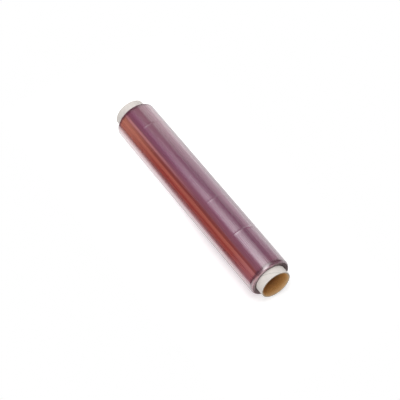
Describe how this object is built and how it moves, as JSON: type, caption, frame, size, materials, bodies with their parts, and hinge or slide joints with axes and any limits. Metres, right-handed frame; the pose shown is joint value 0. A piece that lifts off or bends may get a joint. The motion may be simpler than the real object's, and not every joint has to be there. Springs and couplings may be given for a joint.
{
  "type": "roll of cling film",
  "caption": "Kitchen cling film wound on a spiral paperboard core that shows at both ends, standing on the core's cut end.",
  "frame": {"origin": "middle of the core's lower cut end, where the roll stands", "axes": "+Z along the roll's axis, up to the open end that the picture shows nearest; -Y is the side that faced up off the table in the picture"},
  "size_m": [0.0552, 0.0551, 0.325],
  "materials": {
    "core_board": "uncoated paperboard, pale grey-white outside and kraft brown inside",
    "tinted_film": "glossy translucent stretch film, purple-red in the wound thickness"
  },
  "bodies": {
    "root": {"core_tube": "core_board", "film_roll": "tinted_film"}
  },
  "joints": []
}
